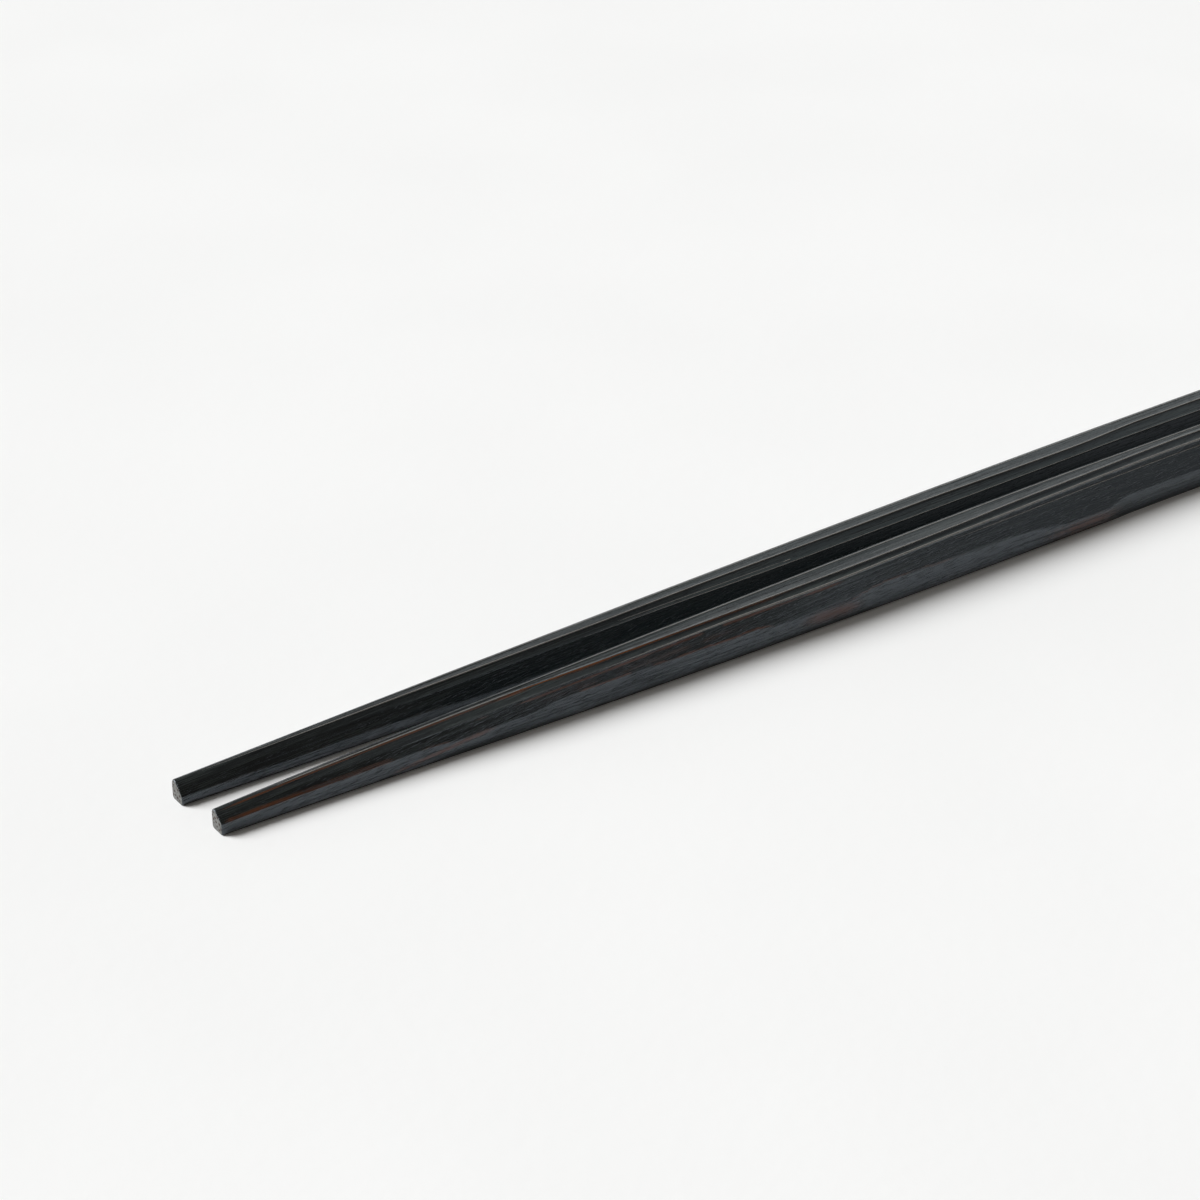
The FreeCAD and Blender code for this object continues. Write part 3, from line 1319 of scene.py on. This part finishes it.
@dataclass
class Studio:
    """Paper, lamps, surroundings and camera."""

    floor_size: float = 6.0
    aim_from_tip: Vector = field(default_factory=lambda: Vector((69.02 * MM, 19.435 * MM, 0.0)))
    camera_heading: float = math.radians(-124.96)
    camera_height: float = math.radians(29.83)
    camera_distance: float = 415.1 * MM
    camera_view: float = math.radians(22.0)
    window_way: Vector = field(default_factory=lambda: Vector((-0.70, 0.66, 0.70)))
    window_spread: float = math.radians(33.0)
    window_power: float = 4.42
    room: tuple = (0.074, 0.064, 0.053, 1.0)
    pale: tuple = (0.86, 0.86, 0.86, 1.0)
    far_side: tuple = (0.32, 0.32, 0.32, 1.0)
    pale_side: tuple = (0.58, 0.58, 0.58, 1.0)
    overhead: tuple = (0.24, 0.235, 0.225, 1.0)
    backdrop_fades: tuple = (13.0, 34.0)
    overhead_starts: tuple = (42.0, 54.0)
    overhead_ends: tuple = (66.0, 80.0)

    def floor(self) -> None:
        """Lays the paper."""
        half = self.floor_size / 2
        outline = [(-half, -half, 0), (half, -half, 0), (half, half, 0), (-half, half, 0)]
        made = add_mesh("paper", outline, [], [(0, 1, 2, 3)])
        made.data.materials.append(PaperFinish().material())

    def surroundings(self) -> None:
        """Sets a dim room with a pale low backdrop, a paler far side and a pale band overhead."""
        world = bpy.data.worlds.new("room")
        world.use_nodes = True
        bpy.context.scene.world = world
        graph = Graph(world.node_tree)
        side, away, height = graph.parts(graph.node("ShaderNodeTexCoord").outputs["Generated"])

        def above(degrees: tuple[float, float]) -> Signal:
            """0 below the first elevation, 1 above the second."""
            return height.ramp(*(math.sin(math.radians(angle)) for angle in degrees))

        backdrop = (1.0 - above(self.backdrop_fades)) * away.ramp(-0.1, 0.3)
        beside = side.ramp(0.42, 0.70)
        band = above(self.overhead_starts) * (1.0 - above(self.overhead_ends))
        walls = graph.blend(beside, self.room, self.far_side)
        dim = graph.blend(band * away.ramp(-0.2, 0.1), walls, self.overhead)
        bright = graph.blend(beside, self.pale, self.pale_side)
        colour = graph.blend(backdrop, dim, bright)
        light = graph.node("ShaderNodeBackground", inputs={"Color": colour})
        graph.node("ShaderNodeOutputWorld", inputs={"Surface": light.outputs[0]})

    def lamps(self) -> None:
        """Hangs one broad soft window light, high at the rear left."""
        data = bpy.data.lights.new("window", "SUN")
        data.angle = self.window_spread
        data.energy = self.window_power
        lamp = add_object("window", data)
        way = self.window_way.normalized()
        lamp.location = way
        lamp.rotation_euler = way.to_track_quat("Z", "Y").to_euler()

    def camera(self, tip: Vector) -> None:
        """Sets up the camera of the photograph.

        Args:
            tip: The near stick's tip, which the view is taken from.
        """
        data = bpy.data.cameras.new("camera")
        data.angle = self.camera_view
        camera = add_object("camera", data)
        way = Vector((
            math.cos(self.camera_height) * math.cos(self.camera_heading),
            math.cos(self.camera_height) * math.sin(self.camera_heading),
            math.sin(self.camera_height),
        ))
        camera.location = tip + self.aim_from_tip + way * self.camera_distance
        camera.rotation_euler = way.to_track_quat("Z", "Y").to_euler()
        bpy.context.scene.camera = camera
        bpy.context.scene.view_settings.view_transform = "Standard"


def strokes(*rows: tuple[float, ...]) -> tuple[Stroke, ...]:
    """Knife strokes in millimetres and degrees.

    Args:
        rows: The fields of Stroke in order, one row for each stroke.

    Returns:
        The strokes, in metres and degrees.
    """
    made = []
    for *lengths, angle, entry, leave, first_angle, turn in rows:
        start, length, depth = (size * MM for size in lengths)
        made.append(
            Stroke(start, length, depth, angle, entry * MM, leave * MM, first_angle, turn * MM)
        )
    return tuple(made)


def worn_line(
    around: Knots,
    start: float,
    end: float,
    width: float,
    strength: float,
    broken: float = 0.2,
    fade: float = 2.5,
    stroke: int = -1,
) -> WornLine:
    """A worn line with its lengths in millimetres.

    Args:
        around: Its place around the stick in corners, or metres below the stroke's upper border.
        start: Where it starts.
        end: Where it ends.
        width: Its half width.
        strength: How far the lacquer is gone, from 0 to 1.
        broken: How much of it is missing, from 0 to 1.
        fade: The length over which it starts and stops.
        stroke: The knife stroke whose border it follows, or -1.

    Returns:
        The line, in metres.
    """
    return WornLine(around, start * MM, end * MM, width * MM, strength, broken, fade * MM, stroke)


NEAR_AXIS = -3.8604 * MM
TIP_SPACING = 8.4 * MM
REAR_LEAD = 0.85 * MM

# The strongest fibres along the ridges and the dust specks of each stick: where around, start, end,
# radius and lift. The long ridge fibres are coloured pale as a painted highlight on the ridges; the
# short ones are pale dust specks.
NEAR_RIDGES = (
    fibre(Around.STRIP_EDGE, 8.0, 44.0, 0.12, 0.060),
    fibre(Around.STRIP_EDGE, 58.0, 226.0, 0.10, 0.050),
    fibre(Around.SHOULDER, 54.0, 226.0, 0.13, 0.080),
    fibre(Around.SHOULDER + 0.17, 112.0, 178.0, 0.09, 0.040),
    fibre(Around.REAR_TOP + 0.06, 36.0, 226.0, 0.10, 0.050),
    fibre(Around.SHOULDER + 0.25, 60.4, 61.1, 0.09, 0.06),
    fibre(Around.SHOULDER + 0.62, 113.6, 114.4, 0.08, 0.05),
)
NEAR_BARE = (
    fibre(Around.STRIP_EDGE + 0.04, 20.0, 88.0, 0.095, 0.040),
)
REAR_RIDGES = (
    fibre(Around.REAR_TOP + 0.10, 26.0, 226.0, 0.08, 0.035),
    fibre(Around.STRIP_EDGE, 3.0, 226.0, 0.12, 0.070),
    fibre(Around.SHOULDER, 58.0, 226.0, 0.055, 0.020),
    fibre(Around.SHOULDER - 0.14, 62.0, 92.0, 0.06, 0.022),
    fibre(Around.SHOULDER + 0.10, 8.6, 9.3, 0.08, 0.05),
    fibre(Around.SHOULDER - 0.04, 73.3, 74.2, 0.09, 0.07),
    fibre(Around.SHOULDER - 0.10, 91.2, 92.6, 0.09, 0.07),
)


def tip_place(lead: float = 0.0, aside: float = 0.0) -> Vector:
    """Where a stick's tip is on the floor, counted from the near stick's."""
    return Vector((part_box("front_chopstick")[0][0] - lead, NEAR_AXIS + aside, 0.0))


def near_stick() -> Chopstick:
    """The stick nearer the camera, with its worn edges."""
    return Chopstick(
        node="front_chopstick",
        tip=tip_place(),
        turn=0.0,
        taper_length=140.0 * MM,
        taper_power=1.62,
        head_width=6.75 * MM,
        strip_edge=millimetres(
            (0, -0.42), (20, -0.33), (40, -0.25), (56, -0.03), (94, 0.15), (113, 0.09), (125, -0.03),
            (138, -0.10), (160, -0.29),
        ),
        shoulder_edge=millimetres(
            (0, 0.25), (40, 0.52), (57, 0.52), (73, 0.45), (90, 0.54), (102, 0.46), (113, 0.40),
            (126, 0.33), (140, 0.22), (156, 0.15),
        ),
        shoulder_height=millimetres((0, 0.62), (40, 0.81), (100, 0.86), (160, 0.875)),
        cheek_edge=millimetres((0, 0.86), (80, 0.92), (104, 0.96), (138, 0.93)),
        cheek_height=millimetres((0, 0.15), (36, 0.00), (80, -0.075), (104, -0.28), (138, -0.36)),
        bow=millimetres(
            (0, 0.0), (70, 0.48 * MM), (100, 0.48 * MM), (120, 0.40 * MM), (165, 0.15 * MM), (230, 0.0)
        ),
        back_edge=millimetres((0, -0.80), (40, -0.85), (75, -0.94), (100, -0.97), (128, -0.92)),
        foot_edge=millimetres((0, 0.92), (15, 1.00), (55, 1.05), (110, 1.04), (140, 1.00)),
        sole_edge=millimetres((0, 0.72), (25, 0.83), (55, 0.94), (110, 0.94), (140, 0.90)),
        back_softness=0.34,
        strip_ridge=0.09 * MM,
        shoulder_ridge=0.25 * MM,
        strip_hollow=0.035 * MM,
        flute_hollow=0.13 * MM,
        strokes=strokes(
            (-8.0, 48.0, 0.10, 80.0, 6.0, 12.0, 92.0, 24.0),
            (24.0, 64.0, 0.10, 76.0, 5.0, 10.0, 96.0, 32.0),
            (84.0, 65.0, 0.24, 77.0, 18.0, 28.0, 79.0, 30.0),
            (136.0, 68.0, 0.46, 85.0, 9.0, 25.0, 85.0, 9.0),
        ),
        worn_lines=(
            worn_line(still(Around.STRIP_EDGE + 0.10), 0.3, 40.0, 0.17, 1.0, 0.1),
            worn_line(still(Around.STRIP_EDGE + 0.14), 38.0, 84.0, 0.20, 1.0, 0.3),
            worn_line(still(-0.22 * MM), 0.3, 24.0, 0.36, 0.9, 0.1, 1.0, stroke=0),
            worn_line(still(-0.10 * MM), 22.0, 40.0, 0.22, 0.6, 0.4, 5.0, stroke=0),
            worn_line(still(Around.SHOULDER + 0.12), 34.0, 94.0, 0.26, 0.85, 0.3),
            worn_line(
                millimetres((22, Around.NEAR_FOOT - 0.15), (38, Around.CHEEK + 0.05)),
                22.5, 39.0, 0.38, 0.9, 0.0, 3.0,
            ),
            worn_line(still(-0.12 * MM), 46.0, 82.0, 0.20, 0.9, 0.4, stroke=1),
            worn_line(still(Around.SHOULDER + 0.5), 42.0, 80.0, 0.60, 0.36, 0.3, 8.0),
            worn_line(still(Around.NEAR_FOOT - 0.60), 84.5, 97.0, 1.15, 0.80, 0.0, 4.0),
            worn_line(still(-0.10 * MM), 84.0, 118.0, 0.18, 0.7, 0.5, stroke=2),
            worn_line(still(Around.NEAR_FOOT - 0.52), 126.0, 145.0, 1.15, 0.80, 0.0, 7.0),
        ),
        seed=3,
        lacquer_colour_with_painted_light=linear(27, 34, 35),
    )


def rear_stick() -> Chopstick:
    """The stick behind it, darker and less worn."""
    return Chopstick(
        node="rear_chopstick",
        tip=tip_place(REAR_LEAD, TIP_SPACING),
        turn=math.radians(-0.12),
        taper_length=198.0 * MM,
        taper_power=1.70,
        head_width=6.9 * MM,
        strip_edge=millimetres(
            (0, -0.42), (15, -0.22), (38, -0.04), (58, 0.05), (80, -0.02), (104, 0.01), (120, -0.02),
            (134, 0.05), (146, 0.05), (158, -0.13),
        ),
        shoulder_edge=millimetres(
            (0, 0.25), (40, 0.45), (70, 0.46), (90, 0.56), (110, 0.52), (135, 0.47), (160, 0.40)
        ),
        shoulder_height=millimetres((0, 0.62), (40, 0.70), (100, 0.72), (160, 0.80)),
        cheek_edge=still(0.89),
        cheek_height=millimetres(
            (0, -0.10), (15, -0.10), (25, -0.04), (45, -0.40), (66, -0.36), (92, 0.00)
        ),
        bow=still(0.0),
        back_edge=millimetres((0, -0.80), (80, -0.83), (110, -0.90), (140, -0.95), (160, -0.99)),
        foot_edge=millimetres((0, 0.96), (15, 1.04), (30, 1.00)),
        sole_edge=millimetres((0, 0.72), (25, 0.83), (45, 0.90)),
        back_softness=0.28,
        strip_ridge=0.07 * MM,
        shoulder_ridge=0.09 * MM,
        strip_hollow=0.02 * MM,
        flute_hollow=0.03 * MM,
        strokes=strokes(
            (-8.0, 52.0, 0.05, 80.0, 6.0, 30.0, 80.0, 6.0),
            (84.0, 60.0, 0.22, 78.0, 16.0, 30.0, 78.0, 16.0),
            (146.0, 60.0, 0.26, 80.0, 16.0, 30.0, 80.0, 16.0),
        ),
        worn_lines=(worn_line(still(Around.CHEEK), 2.0, 40.0, 0.25, 0.2),),
        seed=17,
        # Painted light: lighter than the near stick's lacquer, standing in for light on the rear
        # stick's dark faces.
        lacquer_colour_with_painted_light=linear(37, 45, 46),
    )


def hand_over(piece: bpy.types.Object, stands_for: str = "") -> None:
    """Gives a finished piece to the frame.

    Args:
        piece: The piece.
        stands_for: The CAD node that it takes the place of, if any.
    """
    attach(piece, BODY)
    if stands_for:
        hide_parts(stands_for)
    LOG.info("%s: %d faces", piece.name, len(piece.data.polygons))


def build_stick(
    stick: Chopstick,
    ridges: tuple[Fibre, ...],
    bare: tuple[Fibre, ...],
    fibre_growth: FibreGrowth,
    pore_growth: PoreGrowth,
) -> None:
    """Builds one stick with its fibres and pores, and hands the pieces to the frame.

    Args:
        stick: The stick.
        ridges: The strongest fibres on it, along its ridges, with its dust specks; their pale colour
            is a painted highlight on the long ridge fibres and the specks' own colour.
        bare: The fibres that the lacquer has gone from.
        fibre_growth: What gives the fibres their bodies.
        pore_growth: What scatters the pores of the sawn tip.
    """
    lacquer = LacquerFinish(f"{stick.node}_lacquer", stick.lacquer_colour_with_painted_light).material()
    end_grain = EndGrainFinish(f"{stick.node}_end_grain").material()
    strand, bamboo, pore = (
        SpeckFinish(f"{stick.node}_{label}", colour, clouded, roughness).material()
        for label, colour, clouded, roughness in (
            # Pale grey: painted highlight on the ridge fibres, standing in for glints on the ridges,
            # and the colour of the dust specks.
            ("ridge_glints_and_dust", linear(140, 138, 134), linear(104, 103, 100), 0.35),
            ("bare_bamboo", linear(148, 92, 50), linear(104, 60, 30), 0.45),
            ("pores", linear(30, 29, 28), linear(66, 44, 36), 0.9),
        )
    )
    skin, rings = stick.skin()
    skin.data.materials.append(lacquer)
    skin.data.materials.append(end_grain)
    hand_over(skin, stick.node)
    for label, fibres, finish in (
        ("glint_and_dust_fibres", ridges, strand),
        ("bare_fibres", bare, bamboo),
        ("fine_fibres", FineFibres().strewn(stick.seed, stick.length), lacquer),
    ):
        if fibres:
            lines = FibreCoat(stick, rings, fibres).paths(f"{stick.node}_{label}")
            hand_over(fibre_growth.grow(lines, finish))
    face = stick.tip_face(rings, f"{stick.node}_pores")
    hand_over(pore_growth.grow(face, pore))


def main() -> None:
    """Builds the pair and the studio."""
    logging.basicConfig(level=logging.INFO, format="%(name)s: %(message)s")
    growths = FibreGrowth(), PoreGrowth()
    build_stick(near_stick(), NEAR_RIDGES, NEAR_BARE, *growths)
    build_stick(rear_stick(), REAR_RIDGES, (), *growths)
    studio = Studio()
    studio.floor()
    studio.surroundings()
    studio.lamps()
    studio.camera(tip_place())


if __name__ == "__main__":
    main()
